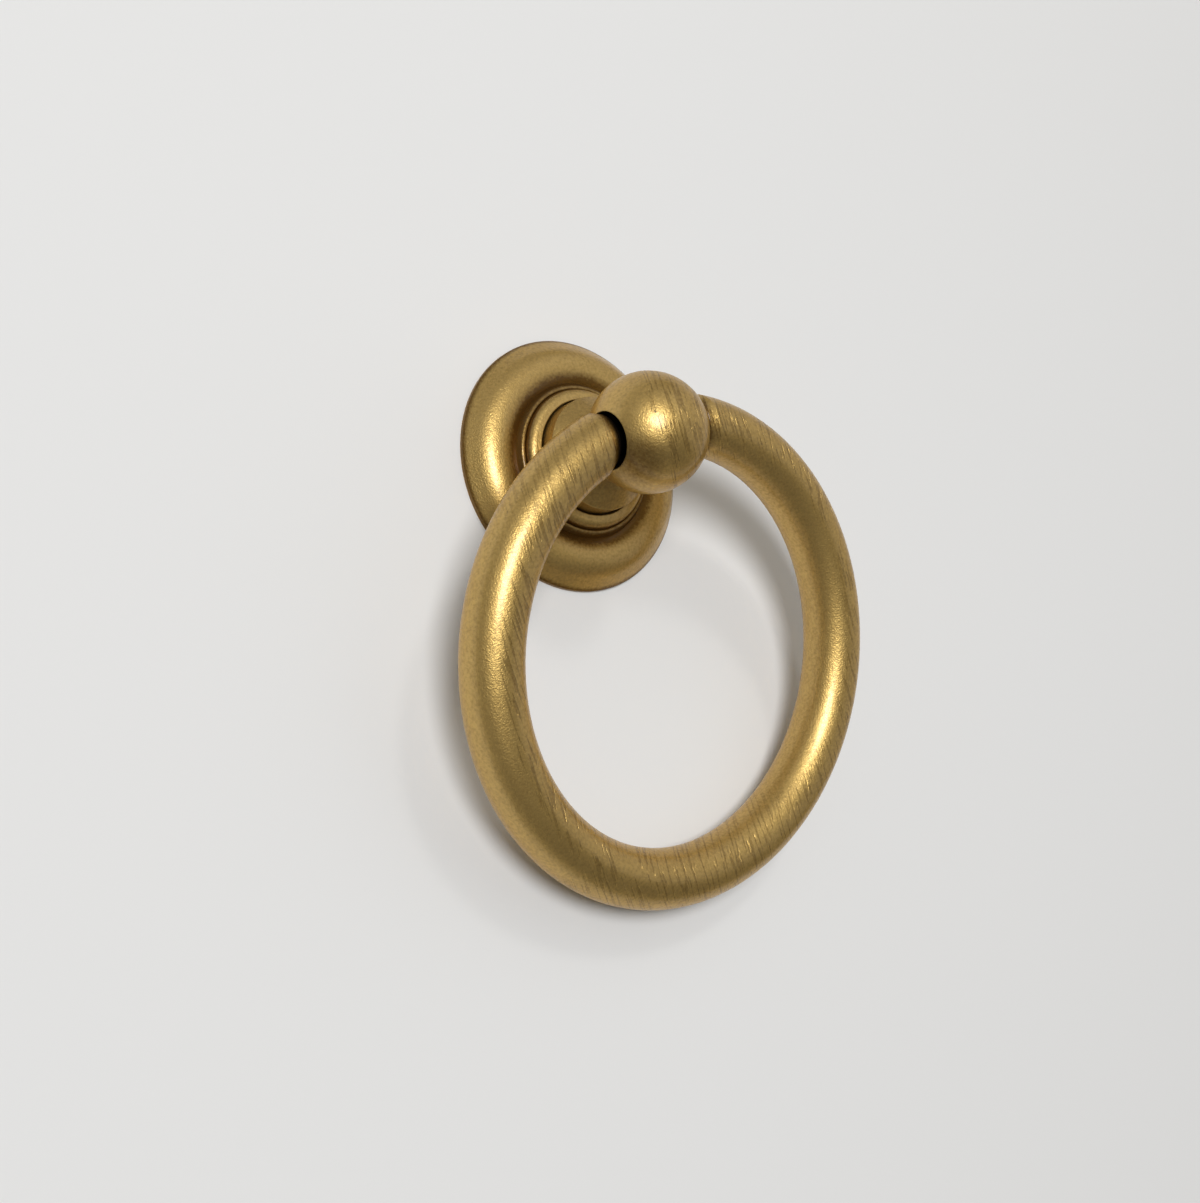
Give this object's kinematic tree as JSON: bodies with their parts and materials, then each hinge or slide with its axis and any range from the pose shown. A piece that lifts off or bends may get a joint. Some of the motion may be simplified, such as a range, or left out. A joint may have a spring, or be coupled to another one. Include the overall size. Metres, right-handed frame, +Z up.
{
  "type": "ring pull handle",
  "caption": "Hanging ring pull: a round moulded rosette, a ball post and a round-bar ring that swings on pins in the ball.",
  "frame": {"origin": "centre of the rosette's back face, at the mouth of the fixing hole, on the mounting plane", "axes": "+Z up and +Y into the drawer front, as fixed; the front faces -Y and +X is to the right seen from the front"},
  "size_m": [0.0686, 0.0256, 0.0799],
  "materials": {
    "satin_brass": "satin, fine brushed and blasted"
  },
  "bodies": {
    "fixed": {"rosette": "satin_brass", "knob_post": "satin_brass"},
    "swing": {"ring": "satin_brass"}
  },
  "joints": [
    {"name": "ring_swing", "type": "hinge", "parent": "fixed", "child": "swing", "pos_m": [0, -0.0176, 0], "axis": [-1, 0, 0], "range_deg": [0, 154.3]}
  ]
}
